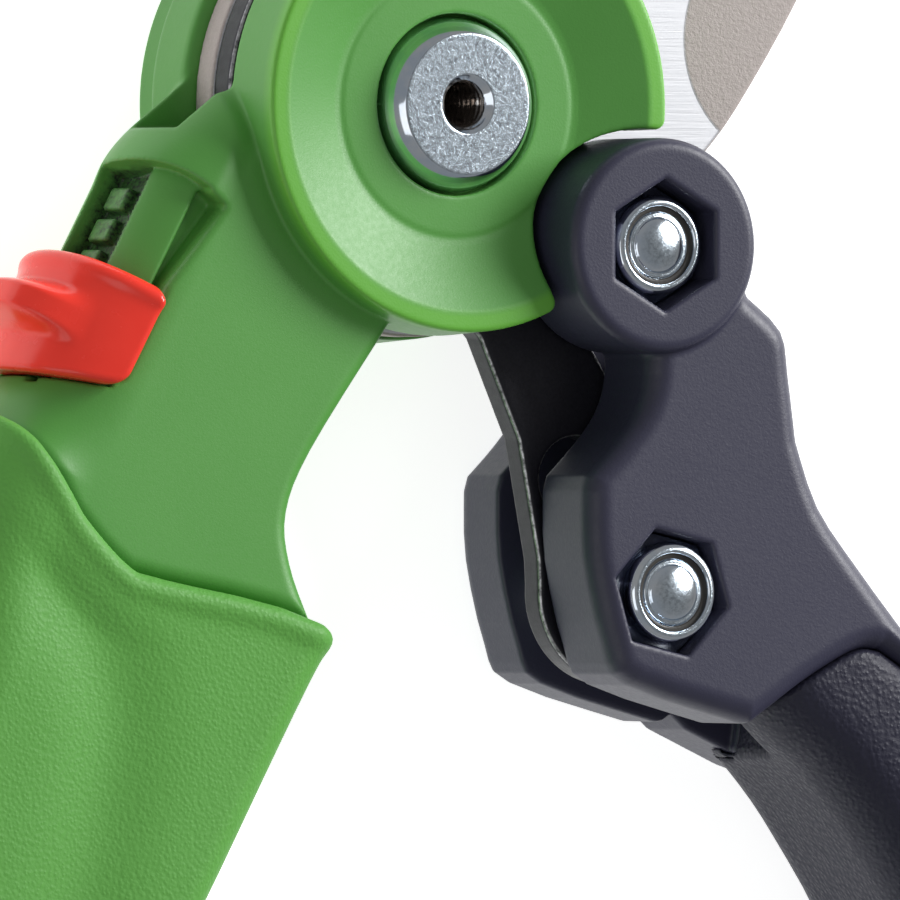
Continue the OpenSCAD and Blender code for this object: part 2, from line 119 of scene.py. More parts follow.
def without(a, b, r=0.0):
    """a with b cut out of it, the edge rounded by r."""
    return both(a, -b, r)


def chamfered(a, b, c):
    """Intersection, with its edge cut off flat."""
    return np.maximum(np.maximum(a, b), (a + b + c) * math.sqrt(0.5))


def between(z, low, high):
    """Signed distance to the slab from low to high."""
    return np.abs(z - (low + high) / 2) - (high - low) / 2


def ramp(t):
    """Smooth step from 0 to 1."""
    t = np.clip(t, 0, 1)
    return t * t * (3 - 2 * t)


def polygon(x, y, points):
    """Signed distance to a closed outline."""
    shape = np.broadcast_shapes(np.shape(x), np.shape(y))
    least = np.full(shape, 1e9, np.float32)
    inside = np.zeros(shape, bool)
    for (ax, ay), (bx, by) in zip(points, points[1:] + points[:1]):
        ex, ey = bx - ax, by - ay
        length = ex * ex + ey * ey
        if length < 1e-12:
            continue
        wx, wy = x - ax, y - ay
        t = np.clip((wx * ex + wy * ey) / length, 0, 1)
        least = np.minimum(least, (wx - ex * t) ** 2 + (wy - ey * t) ** 2)
        if ay != by:
            inside ^= ((ay > y) != (by > y)) & (x < ex * (y - ay) / (by - ay) + ax)
    return np.where(inside, -1, 1) * np.sqrt(least)


def path_distance(x, y, points):
    """Distance to an open line."""
    least = np.full(np.broadcast_shapes(np.shape(x), np.shape(y)), 1e9, np.float32)
    for (ax, ay), (bx, by) in zip(points, points[1:]):
        ex, ey = bx - ax, by - ay
        t = np.clip(((x - ax) * ex + (y - ay) * ey) / (ex * ex + ey * ey), 0, 1)
        least = np.minimum(least, (x - ax - ex * t) ** 2 + (y - ay - ey * t) ** 2)
    return np.sqrt(least)


def hexagon(x, y, across, turn):
    """Signed distance to a hexagon with a corner at the angle turn."""
    d = -1e9
    for k in range(6):
        a = turn + math.radians(30 + 60 * k)
        d = np.maximum(d, x * math.cos(a) + y * math.sin(a) - across / 2)
    return d


def smooth(points, n=4):
    """Catmull-Rom curve through the points."""
    p = np.array([points[0], *points, points[-1]], float)
    out = []
    for a, b, c, d in zip(p, p[1:], p[2:], p[3:]):
        for t in np.arange(n) / n:
            pull = (c - a) * t + (2 * a - 5 * b + 4 * c - d) * t**2 + (3 * b - a - 3 * c + d) * t**3
            out.append(tuple(b + pull / 2))
    return out + [tuple(p[-1])]


def ribbon(line):
    """Outline beside a smoothed centre line of (x, y, half width)."""
    s = smooth(line)
    sides = ([], [])
    for i, (x, y, w) in enumerate(s):
        a, b = s[max(i - 1, 0)], s[min(i + 1, len(s) - 1)]
        dx, dy = b[0] - a[0], b[1] - a[1]
        length = math.hypot(dx, dy)
        for side, way in zip(sides, (1, -1)):
            side.append((x - way * w * dy / length, y + way * w * dx / length))
    return sides[0] + sides[1][::-1]


def turned(x, y, angle):
    """Coordinates in a frame turned by angle."""
    c, s = math.cos(angle), math.sin(angle)
    return x * c + y * s, y * c - x * s


def sector(x, y, start, end):
    """The side between two angles round the main pivot, negative inside."""
    before = x * math.sin(start) - y * math.cos(start)
    after = y * math.cos(end) - x * math.sin(end)
    return np.maximum(before, after)


def neck_frame(x, y):
    """Coordinates across and along the neck."""
    return turned(x, y, -NECK_LEAN)


# ---------- from a field to a mesh ----------

CORNERS = [(i, j, k) for i in (0, 1) for j in (0, 1) for k in (0, 1)]
EDGES = [
    (a, b)
    for a in range(8)
    for b in range(a + 1, 8)
    if sum(p != q for p, q in zip(CORNERS[a], CORNERS[b])) == 1
]


def surface(field, low, high, cell):
    """Vertices and quads of the field's zero surface, one vertex in each cell it passes."""
    counts = [max(int(math.ceil((h - s) / c)), 2) + 1 for s, h, c in zip(low, high, cell)]
    lines = [s + c * np.arange(n, dtype=np.float32) for s, c, n in zip(low, cell, counts)]
    x = lines[0][:, None, None]
    y = lines[1][None, :, None]
    z = lines[2][None, None, :]
    value = np.ascontiguousarray(np.broadcast_to(field(x, y, z), counts), dtype=np.float32)
    solid = value < 0
    total = np.zeros([n - 1 for n in counts], np.int8)
    for i, j, k in CORNERS:
        total += solid[i : i + counts[0] - 1, j : j + counts[1] - 1, k : k + counts[2] - 1]
    at = np.argwhere((total > 0) & (total < 8))
    corner = np.stack([value[at[:, 0] + i, at[:, 1] + j, at[:, 2] + k] for i, j, k in CORNERS], 1)
    place = np.zeros((len(at), 3), np.float32)
    hits = np.zeros(len(at), np.float32)
    where = np.array(CORNERS, np.float32)
    for a, b in EDGES:
        va, vb = corner[:, a], corner[:, b]
        cut = (va < 0) != (vb < 0)
        t = np.where(cut, va / np.where(cut, va - vb, 1), 0)[:, None]
        place += np.where(cut[:, None], where[a] + t * (where[b] - where[a]), 0)
        hits += cut
    place /= hits[:, None]
    number = np.full(total.shape, -1, np.int64)
    number[at[:, 0], at[:, 1], at[:, 2]] = np.arange(len(at))
    quads = []
    for axis in range(3):
        one, two = (axis + 1) % 3, (axis + 2) % 3
        ahead = [slice(None)] * 3
        ahead[axis] = slice(1, None)
        behind = [slice(None)] * 3
        behind[axis] = slice(0, -1)
        change = solid[tuple(ahead)] != solid[tuple(behind)]
        edge = np.argwhere(change)
        edge = edge[(edge[:, one] > 0) & (edge[:, two] > 0)]
        edge = edge[(edge[:, one] < counts[one] - 1) & (edge[:, two] < counts[two] - 1)]
        ring = []
        for di, dj in ((0, 0), (1, 0), (1, 1), (0, 1)):
            c = edge.copy()
            c[:, one] -= di
            c[:, two] -= dj
            ring.append(number[c[:, 0], c[:, 1], c[:, 2]])
        ring = np.stack(ring, 1)
        starts_solid = solid[edge[:, 0], edge[:, 1], edge[:, 2]]
        ring[~starts_solid] = ring[~starts_solid][:, ::-1]
        quads.append(ring)
    points = (at + place) * np.array(cell, np.float32) + np.array(low, np.float32)
    return points, np.concatenate(quads)


def settled(field, points, cell):
    """The vertices moved on to the field's true surface."""
    h = 0.02
    x, y, z = points.T
    value = field(x, y, z)
    ahead = (field(x + h, y, z), field(x, y + h, z), field(x, y, z + h))
    slope = (np.stack(ahead, 1) - value[:, None]) / h
    steep = np.maximum((slope**2).sum(1), 0.3)
    step = (value / steep)[:, None] * slope
    return (points - np.clip(step, -0.35 * cell, 0.35 * cell)).astype(np.float32)


def new_mesh(name, points, quads):
    """A linked object from points in millimetres."""
    mesh = bpy.data.meshes.new(name)
    mesh.vertices.add(len(points))
    mesh.vertices.foreach_set("co", (np.asarray(points, np.float32) * MM).ravel())
    mesh.loops.add(quads.size)
    mesh.loops.foreach_set("vertex_index", quads.astype(np.int32).ravel())
    mesh.polygons.add(len(quads))
    mesh.polygons.foreach_set("loop_start", np.arange(0, quads.size, 4, dtype=np.int32))
    mesh.polygons.foreach_set("use_smooth", np.ones(len(quads), bool))
    mesh.update(calc_edges=True)
    mesh.validate()
    ob = bpy.data.objects.new(name, mesh)
    bpy.context.scene.collection.objects.link(ob)
    return ob


def carve(name, field, low, high, cell, places=((0, 0, 0),)):
    """An object from a field, or several copies of it moved and turned."""
    if np.isscalar(cell):
        cell = (cell,) * 3
    cell = [c * COARSER for c in cell]
    points, quads = surface(field, low, high, cell)
    points = settled(field, points, min(cell))
    all_points, all_quads = [], []
    for i, (dx, dy, turn) in enumerate(places):
        px, py = turned(points[:, 0], points[:, 1], -turn)
        all_points.append(np.stack([px + dx, py + dy, points[:, 2]], 1))
        all_quads.append(quads + i * len(points))
    return new_mesh(name, np.concatenate(all_points), np.concatenate(all_quads))


def finished(ob, body, slot, material, *nodes):
    """Puts the material on, hangs the piece on its body and hides the CAD nodes it stands for."""
    ob.data.materials.append(material)
    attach(ob, body)
    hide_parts(*nodes)
    return ob


# ---------- fixed handle ----------

NECK_RIGHT = [
    (8, -10), (4.6, -18), (4, -22), (2.6, -34.5), (3.1, -40.5), (5.6, -44.3), (9.6, -47.6), (12.4, -49.4),
]
GRIP_EDGE = [
    (-40, -46), (-28, -46.8), (-24.4, -47.4), (-21.8, -48.6), (-18.6, -50.3), (-15.7, -51.8),
    (-10.1, -53.3), (-6.4, -52.6), (10, -48.2), (30, -49.6),
]
GRIP_LINE = [
    (-8, -41, 20.4), (-8, -50, 20.4), (-6.6, -62, 18.8), (-5.4, -78, 17.6), (-4.6, -96, 16.2),
    (-3, -115, 15.4), (2, -133, 14.2), (7, -146, 11.8), (9.4, -152, 7.5), (10.2, -154, 2),
]
# bottom of the hollow for the heel of the thumb
THUMB_HOLLOW = [(-16, -57.5), (-10, -60.5), (-6, -64.5), (-3.4, -70), (-1, -78), (0.4, -88), (0, -100)]
GRIP_FRONT = 9.9
GRIP_BACK = -12.2
NECK_MID = (NECK_FRONT + NECK_BACK) / 2
NECK_HALF = (NECK_FRONT - NECK_BACK) / 2
SPINE_U = -15.6
SPINE_RISE = 4.2
FLARE_TOP = -40
FLARE_LENGTH = 8.5
FLARE_STEP = 2.2
SADDLE_HEIGHT = 0.6
ARCH_RISE = 1.1
SLIDER_TOP = -29.6
SLIDER_BOTTOM = -39.4
SLIDER_SLANT = 0.33
SLIDER_RIGHT = -17.9
TRACK_TOP = -19.7
TRACK_STEP = 0.9
GROOVE_LEFT = -18.4
GROOVE_RIGHT = -16.1
GROOVE_DEPTH = 2.9
CHANNEL_FLOOR = -21.4
CHANNEL_BACK = -3.3
CHANNEL_FRONT = 2.7
PAD_TOP = -22.6
PAD_START = 2.6
PAD_PITCH = 3.2
PAD_SIZE = 2.3
PAD_BACK = -2.4
PAD_FRONT = 1.0
SLIT_BACK = 1.3
SLIT_FRONT = 2.6
BAR_LEFT = -20.6
BAR_RIGHT = -16.7
BAR_LOW = -39
BAR_HIGH = -8
BAR_BACK = -0.15
BAR_FRONT = 3.25
SLOT_END = -2.2


def grip_zone(u, v):
    """Everything below the upper edge of the fixed handle's grip."""
    return polygon(u, v, smooth(GRIP_EDGE) + [(60, -200), (-80, -200)])


def round_spine(u, v, z):
    """Distance from the line inside the neck's round back, and the angle round it in degrees."""
    centre = SPINE_U + SPINE_RISE * ramp((v - TRACK_TOP) / 14)
    left = np.maximum(centre - u, 0)
    return np.hypot(left, z - NECK_MID), np.degrees(np.arctan2(z - NECK_MID, left + 1e-6))


def slider_edge(u):
    """Slanting lower edge of the thumb slider."""
    return SLIDER_BOTTOM + SLIDER_SLANT * (u - GROOVE_LEFT)


def dish_slope(r):
    """Height of the dish above its floor: flat floor, straight slope, flat rim."""
    t = (r - DISH_FLOOR_R) / (DISH_RIM_R - DISH_FLOOR_R)
    soft = 0.015
    low = np.where(t < soft, np.clip(t + soft, 0, None) ** 2 / (4 * soft), t)
    top = np.where(t > 1 - soft, 1 - np.clip(1 + soft - t, 0, None) ** 2 / (4 * soft), low)
    line = 0.10 * np.exp(-(((r - DISH_FLOOR_R + 0.5) / 0.22) ** 2))
    return DISH_DEPTH * top - line


def head_field(x, y, z):
    """Dished cheeks of the head, with the pocket for the lever's boss."""
    r = np.hypot(x, y)
    side = both(r - HEAD_R - 0.05 * (RIM_FRONT - z), -circle(x, y, *FULCRUM, POCKET_R), 1.0)
    front = z - (RIM_FRONT - DISH_DEPTH + dish_slope(r))
    back = (RIM_BACK + DISH_DEPTH - dish_slope(r)) - z
    return both(both(side, front, 0.4), back, 0.4)


def track_field(u, v, z, reach, angle):
    """What the thumb lock's track takes out of the neck: lowered back, side grooves, channel and slit."""
    arch = TRACK_TOP + ARCH_RISE * np.exp(-(((angle - 48) / 35) ** 2))
    span = both(v - arch, slider_edge(u) - 0.12 - v)
    rail = both(both(span, u - GROOVE_LEFT), both(NECK_HALF - TRACK_STEP - reach, CHANNEL_BACK - z))
    # the groove narrows down the neck
    right = np.clip(0.19 * (TRACK_TOP - v), 0, 1.7) + u - GROOVE_RIGHT + 0.12 * np.maximum(NECK_FRONT - z, 0)
    groove = both(right * 0.93, GROOVE_LEFT - 0.2 - u)
    groove = both(groove, NECK_HALF - GROOVE_DEPTH - np.abs(z - NECK_MID))
    groove = both(groove, both(v - arch + 0.3, slider_edge(u) + 0.6 - v), 0.5)
    row = v - TRACK_TOP + PAD_START
    pad = np.abs((row + PAD_PITCH / 2) % PAD_PITCH - PAD_PITCH / 2) - PAD_SIZE / 2
    pad = both(both(pad, v - TRACK_TOP + 1), both(between(z, PAD_BACK, PAD_FRONT), PAD_TOP - u, 0.3), 0.3)
    channel = both(both(u - CHANNEL_FLOOR, between(z, CHANNEL_BACK, CHANNEL_FRONT), 0.2), span)
    channel = without(channel, pad)
    slit = both(u - BAR_LEFT, between(z, SLIT_BACK, SLIT_FRONT))
    slit = both(slit, both(v - TRACK_TOP, slider_edge(u) - 0.6 - v))
    bar_slot = both(between(v, BAR_LOW, BAR_HIGH), between(z, BAR_BACK, BAR_FRONT))
    bar_slot = both(between(u, BAR_LEFT - 0.3, BAR_RIGHT), bar_slot)
    return rail, groove, np.minimum(channel, np.minimum(slit, bar_slot))


def neck_field(x, y, z):
    """Neck with flat faces, a round back and the thumb lock's track."""
    u, v = neck_frame(x, y)
    reach, angle = round_spine(u, v, z)
    right = smooth(NECK_RIGHT)
    outline = polygon(u, v, right + [(12.5, -60), (-45, -60), (-45, -13), (-26, -4), (-10, -2), (0, 0)])
    outline = both(outline, -grip_zone(u, v), 0.35)
    # the back flares out to the grip, and a saddle crosses it above the track
    flare = FLARE_STEP * np.clip((FLARE_TOP - v) / FLARE_LENGTH, 0, 1) ** 2 * ramp((SPINE_U - u) / 8)
    pad_edge = -15.9 - 3.2 * ramp((v + 14) / 6)
    saddle = ramp((pad_edge - u) / 2.6) * ramp((v + 22) / 2.6) * ramp((angle + 50) / 90)
    saddle = SADDLE_HEIGHT * saddle
    body = both(outline, reach - NECK_HALF - flare - saddle, 1.6)
    rail, groove, channel = track_field(u, v, z, reach, angle)
    body = without(body, rail, 0.22)
    body = without(body, groove, 0.55)
    return without(body, channel, 0.12)


def handle_field(x, y, z):
    """Whole fixed handle, but for its grip."""
    r = np.hypot(x, y)
    solid = either(head_field(x, y, z), neck_field(x, y, z), 0.25)
    # flared shoulder of the rear cheek
    wedge = sector(x, y, SHOULDER_FROM, SHOULDER_TO)
    shoulder = both(both(r - FLANGE_R, wedge), between(z, NECK_BACK, SLOT_BACK), 0.9)
    solid = either(solid, shoulder, 0.4)
    # slot for the two plates, open all round but for the neck
    opening = np.minimum(r - HUB_R - HUB_CLEAR, np.minimum(SLOT_END - y, -x))
    slot = both(opening, between(z, SLOT_BACK, SLOT_FRONT))
    solid = without(solid, slot, 0.3)
    solid = without(solid, both(r - COUNTERBORE_R, RIM_FRONT - DISH_DEPTH - COUNTERBORE_DEPTH - z), 0.2)
    solid = without(solid, both(r - COUNTERBORE_R, z - RIM_BACK - DISH_DEPTH - COUNTERBORE_DEPTH), 0.2)
    return without(solid, r - HEAD_BORE_R)


def grip_field(x, y, z):
    """Soft grip of the fixed handle."""
    u, v = neck_frame(x, y)
    zone = grip_zone(u, v)
    outline = polygon(u, v, ribbon(GRIP_LINE))
    # rounded ridge along the upper edge, and the hollow for the thumb
    ridge = 0.4 * np.exp(-(((zone + 1.3) / 1.0) ** 2))
    hollow = 0.9 * np.exp(-((path_distance(u, v, smooth(THUMB_HOLLOW)) / 4.6) ** 2)) * ramp((-zone - 2) / 5)
    front = z - GRIP_FRONT - ridge + hollow
    # broadly rounded over the back, tighter on the side of the lever
    broad = both(both(outline, front, 8.5), GRIP_BACK - z, 8.5)
    tight = both(both(outline, front, 3.2), GRIP_BACK - z, 3.2)
    full = tight + (broad - tight) * ramp(-u / 12)
    return both(full, zone, 0.9)


# ---------- plates ----------

JAW_OUTER = [(28.2, 12), (29.1, 18), (29.3, 30), (28, 41), (23.4, 52), (15.2, 61.5), (5, 68.5)]
JAW_INNER = [(4.6, 68.2), (8.2, 60), (11.2, 50), (12.8, 39), (13.2, 28), (12.6, 15)]
BLADE_EDGE = [(2.6, 69.4), (7.6, 61), (12, 49), (14.4, 37), (14.8, 26), (13.4, 12)]
BLADE_SPINE = [(-18.4, 8), (-15.6, 22), (-12.4, 38), (-8.4, 52), (-3.6, 63.5), (1.6, 69.8)]
TAIL_LEFT = [(10, -9), (17, -5.4), (21.4, -3.9), (31.5, -4), (42.2, -6.6), (46, -8.1)]
TAIL_RIGHT = [(46, 8.1), (40, 7.8), (29, 6.8), (19, 5.5), (10, 8)]
TAIL_R = 8.5
JAW_EAR_R = 8.5
FULCRUM_BUSH_R = 4.6
BLADE_BUSH_R = 6.5
# raised part of the blade's hub that meets the thumb lock
HUB_STEP = 1.2
STEP_FROM = math.radians(135)
STEP_TO = math.radians(207)
FULCRUM_SLOT_HALF = 5.9
DRIVE_SLOT_HALF = 3.85
GRIND_SLOPE = 0.42
GRIND_LAND = 0.35


def jaw_field(x, y, z):
    """Counter jaw with its hub, hook and tang."""
    r = np.hypot(x, y)
    jx, jy = turned(x, y, -JAW_LEAN)
    u, v = neck_frame(x, y)
    hook = polygon(jx, jy, [(20, 4)] + smooth(JAW_OUTER) + smooth(JAW_INNER) + [(0, 4)])
    tang = polygon(u, v, [(-13, 0), (0, 0), (0, -60), (-2, -78), (-7, -78), (-13, -60)])
    arm = polygon(x, y, [(24, 4), (26, -2), (26.8, -11), (10, -20), (0, 0)])
    outline = np.minimum(np.minimum(r - HUB_R, hook), np.minimum(circle(x, y, *FULCRUM, JAW_EAR_R), arm))
    outline = without(np.minimum(outline, tang), r - SLEEVE_R)
    outline = without(outline, circle(x, y, *FULCRUM, FULCRUM_BUSH_R))
    body = chamfered(outline, between(z, -PLATE_GAP - PLATE_T, -PLATE_GAP), 0.2)
    # bearing edge of the hook, ground back a little on the far side
    inner = polygon(jx, jy, smooth(JAW_INNER) + [(-60, 15), (-60, 69)])
    height = z + PLATE_GAP + PLATE_T
    bevel = both(inner * 0.78 + height * 0.62 - 1.4, 22 - jy)
    return without(body, bevel, 0.1)


def blade_field(x, y, z):
    """Blade before the slots are cut in its tail."""
    r = np.hypot(x, y)
    bx, by = turned(x, y, -BLADE_LEAN)
    tail = math.atan2(DRIVE[1], DRIVE[0])
    tx, ty = turned(x, y, tail)
    hub = np.minimum(r - HUB_R + HUB_STEP, both(r - HUB_R, sector(x, y, STEP_FROM, STEP_TO)))
    hook = polygon(bx, by, smooth(BLADE_SPINE) + smooth(BLADE_EDGE))
    arm = polygon(tx, ty, TAIL_LEFT + TAIL_RIGHT)
    end = math.hypot(*DRIVE)
    outline = np.minimum(np.minimum(hub, hook), np.minimum(arm, circle(tx, ty, end, 0, TAIL_R)))
    outline = without(outline, r - BLADE_BUSH_R)
    body = chamfered(outline, between(z, PLATE_GAP, PLATE_GAP + PLATE_T), 0.3)
    # face ground down to the cutting edge, which lies on the side of the counter jaw
    inward = -polygon(bx, by, smooth(BLADE_EDGE) + [(-60, 12), (-60, 69)])
    height = z - PLATE_GAP
    bevel = both((inward * GRIND_SLOPE + GRIND_LAND - height) * math.cos(math.atan(GRIND_SLOPE)), 21 - by)
    return without(body, bevel, 0.1)


def tail_slots(x, y):
    """The two slots of the blade: round the fulcrum spacer and for the drive sleeve."""
    start = math.atan2(FULCRUM[1], FULCRUM[0])
    reach = math.hypot(*FULCRUM)
    mid = start + BLADE_TRAVEL / 2
    mx, my = turned(x, y, mid)
    angle = np.clip(np.arctan2(my, mx), -BLADE_TRAVEL / 2, BLADE_TRAVEL / 2)
    curved = np.hypot(mx - reach * np.cos(angle), my - reach * np.sin(angle)) - FULCRUM_SLOT_HALF
    tx, ty = turned(x, y, math.atan2(DRIVE[1], DRIVE[0]))
    end = math.hypot(*DRIVE)
    straight = np.hypot(tx - np.clip(tx, closed_reach(), end), ty) - DRIVE_SLOT_HALF
    return np.minimum(curved, straight)


def closed_reach():
    """Distance of the drive bolt from the main pivot with the shears closed."""
    ax, ay = DRIVE[0] - FULCRUM[0], DRIVE[1] - FULCRUM[1]
    c, s = math.cos(LEVER_TRAVEL), math.sin(LEVER_TRAVEL)
    return math.hypot(FULCRUM[0] + ax * c + ay * s, FULCRUM[1] + ay * c - ax * s)


def blade_whole(x, y, z):
    """Blade with the slots in its tail."""
    return without(blade_field(x, y, z), tail_slots(x, y), 0.15)


# ---------- lever ----------

FORK_OUTLINE = (
    smooth([(17.8, -20), (17.9, -24.5), (16.9, -27.8), (14.6, -30.8), (11.8, -33.6)], 3)
    + smooth([(11.4, -35), (11.6, -41.3), (13.6, -49.2), (16.1, -52.6), (28.6, -56.3)], 3)
    + [(33, -58.6), (40, -63), (50, -57), (49.4, -53.4), (47.6, -50.2)]
    + smooth([(44.8, -47.2), (40.4, -42), (36.1, -36.4), (33.8, -30.4)], 3)
    + smooth([(33.8, -30.4), (33, -24.5), (32.2, -20.4), (28.7, -17.3)], 3)
    + [(26.5, -13), FULCRUM]
)
LEVER_EDGE = [
    (20, -60), (27, -57.2), (30.6, -55), (33.9, -52.8), (37.2, -50.9),
    (40, -49.6), (42, -49.5), (44.6, -50.6), (60, -60),
]
LEVER_LINE = [
    (31, -43, 8.2), (38.4, -51.5, 7.7), (42.8, -55.3, 7.7), (49.2, -61.6, 8.7), (56.9, -71.7, 10),
    (63.1, -85.6, 11.8), (67.6, -101.8, 13.4), (70, -118, 14), (71, -131, 13), (70.8, -140, 9.6),
    (70.4, -144, 5.6), (70.2, -145.4, 2),
]
LEVER_HALF = 12.2
GAP_EDGE = [(29.6, -16), (30.4, -30), (31.4, -41), (36, -49), (36.6, -54), (35.6, -60), (32, -64)]


def lever_zone(x, y):
    """Everything below the upper edge of the lever's grip."""
    return polygon(x, y, smooth(LEVER_EDGE) + [(130, -60), (130, -200), (0, -200), (0, -60)])


def rear_tongue(x, y, z):
    """Part of the rear ear that runs on under the edge of the grip."""
    outline = polygon(x, y, [(27, -53), (31.4, -56.9), (38.6, -60.2), (44, -62), (45, -52)])
    return both(outline, between(z, FORK_BACK + 0.4, FORK_GAP_BACK + 1), 0.4)


def fork_gap(x, y, z):
    """Gap of the fork that the blade's tail swings in."""
    outline = polygon(x, y, [(-30, 40), (27, 10), (29.4, -8)] + smooth(GAP_EDGE, 3) + [(20, -72), (-30, -60)])
    return both(outline, between(z, FORK_GAP_BACK, SLOT_FRONT))


def fork_field(x, y, z):
    """Forked head of the lever."""
    outline = both(polygon(x, y, FORK_OUTLINE), -lever_zone(x, y), 0.5)
    ear = both(outline, z - FORK_FRONT, 2.2)
    ear = both(ear, FORK_BACK - z, 2.2)
    boss = both(circle(x, y, *FULCRUM, BOSS_R), between(z, FORK_BACK, BOSS_FRONT), 1.1)
    solid = np.minimum(either(ear, boss, 0.5), rear_tongue(x, y, z))
    solid = without(solid, fork_gap(x, y, z), 0.4)
    fx, fy = x - FULCRUM[0], y - FULCRUM[1]
    dx, dy = x - DRIVE[0], y - DRIVE[1]
    for px, py, turn in ((fx, fy, FULCRUM_NUT_TURN), (dx, dy, DRIVE_NUT_TURN)):
        solid = without(solid, both(hexagon(px, py, NUT_RECESS_AF, turn), NUT_Z - z), 0.35)
    for px, py in ((fx, fy), (dx, dy)):
        solid = without(solid, both(np.hypot(px, py) - HEAD_RECESS_R, z - HEAD_RECESS_Z), 0.35)
    return solid


def lever_grip_field(x, y, z):
    """Soft grip of the lever."""
    full = both(polygon(x, y, ribbon(LEVER_LINE)), between(z, -LEVER_HALF, LEVER_HALF), 6.5)
    # the wider slab rounds the zone's edge into the flat faces
    body = both(full, both(lever_zone(x, y), between(z, -12.3, 12.3)), 0.8)
    body = without(body, rear_tongue(x, y, z), 0.3)
    return without(body, fork_gap(x, y, z), 0.5)


# ---------- small parts ----------

SLEEVE_BACK = -7.9
THREAD_R = 2.05
THREAD_DEPTH = 0.32
THREAD_PITCH = 0.8
THREAD_END = -1.5
INSERT_BACK = 11.3
NUT_MOUTH_R = 3.55
BOLT_R = 2.98
BOLT_HEAD_R = 5.0
BOLT_BACK = -11.9


def sleeve_field(x, y, z):
    """Headed sleeve of the main pivot."""
    r = np.hypot(x, y)
    head = both(r - SLEEVE_HEAD_R, between(z, SLEEVE_SHOULDER, SLEEVE_FACE), 0.05)
    # long rounded flank below a crisp face
    flank = np.hypot(np.maximum(r - 4.2, 0), np.maximum(z - 6.3, 0) * 0.86) - 3.8
    head = both(head, flank, 0.08)
    body = np.minimum(head, both(r - SLEEVE_R, between(z, SLEEVE_BACK, 6.2)))
    # tapped hole
    turn = np.arctan2(y, x) / (2 * math.pi)
    wave = np.abs(((z / THREAD_PITCH - turn) % 1.0) - 0.5) * 2
    bore = r - (THREAD_R + THREAD_DEPTH * wave)
    bore = np.minimum(bore, (r - THREAD_R - (z - SLEEVE_FACE + 0.65)) * 0.7)
    return without(body, both(bore, THREAD_END - z))


def nut_field(x, y, z):
    """Lock nut with its corner on +X."""
    r = np.hypot(x, y)
    flats = both(hexagon(x, y, NUT_AF, 0.0), between(z, NUT_Z, NUT_Z + 4.4), 0.1)
    flats = both(flats, (r - 5.1 + (z - NUT_Z - 3.7) * 1.7) * 0.5)
    collar = both(r - 4.5, between(z, NUT_Z, NUT_Z + 6.0), 0.75)
    body = either(flats, collar, 0.3)
    body = without(body, both(r - NUT_MOUTH_R, 12.45 - z), 0.25)
    return without(body, r - 3.0)


def insert_field(x, y, z):
    """Nylon ring of a lock nut."""
    r = np.hypot(x, y)
    return both(both(r - 3.85, 3.02 - r), between(z, INSERT_BACK, 12.55), 0.25)


def bolt_field(x, y, z):
    """Bolt with a low head behind and a domed end."""
    r = np.hypot(x, y)
    shank = both(r - BOLT_R, between(z, -9.6, 12.6), 0.1)
    dome = both(r - 2.6, (np.hypot(r, z - 8.2) - 5.2), 0.25)
    tip = both(dome, 12.0 - z)
    head = both(r - BOLT_HEAD_R, between(z, BOLT_BACK, HEAD_RECESS_Z), 0.3)
    head = both(head, np.hypot(r, z + 4.2) - 8.0, 0.4)
    body = np.minimum(np.minimum(shank, tip), head)
    return without(body, both(hexagon(x, y, 4.0, 0.0), z + 10.4), 0.1)


# ---------- thumb lock ----------

SLIDER_R = 10.2
SLIDER_FULLER = 0.9
REST_HEIGHT = 3.3
REST_HIGH = -32.6
REST_LOW = -36.7
LIP_HEIGHT = 0.3
SLIDER_CLEAR = 0.3


def slider_field(x, y, z):
    """Thumb slider of the lock."""
    u, v = neck_frame(x, y)
    reach, angle = round_spine(u, v, z)
    # outer face: fuller over the back, with the thumb rest standing out of it
    fuller = SLIDER_FULLER * ramp((74 - angle) / 50)
    rest = ramp((54 - np.abs(angle + 6)) / 36)
    rest = rest * ramp((REST_HIGH - v) / 2.3) * (1 - ramp((REST_LOW - v) / 1.7))
    lip = LIP_HEIGHT * np.exp(-(((v - SLIDER_TOP + 1.1) / 0.7) ** 2))
    outer = (reach - SLIDER_R - fuller - lip - REST_HEIGHT * rest) * 0.9
    inner = reach - np.where(z > CHANNEL_BACK, NECK_HALF - TRACK_STEP, NECK_HALF) - SLIDER_CLEAR
    edge = both(both(v - SLIDER_TOP, (slider_edge(u) - v) * 0.95, 1.0), u - SLIDER_RIGHT, 1.5)
    return without(both(edge, outer, 0.75), inner, 0.3)


# ---------- materials ----------


def material(name, colour, rough, metal=0.0, coat=0.0, specular=0.5):
    """Material on a Principled shader."""
    mat = bpy.data.materials.new(name)
    mat.use_nodes = True
    shader = mat.node_tree.nodes["Principled BSDF"]
    shader.inputs["Base Color"].default_value = (*colour, 1)
    shader.inputs["Roughness"].default_value = rough
    shader.inputs["Metallic"].default_value = metal
    shader.inputs["Coat Weight"].default_value = coat
    shader.inputs["Coat Roughness"].default_value = 0.12
    shader.inputs["Specular IOR Level"].default_value = specular
    return mat


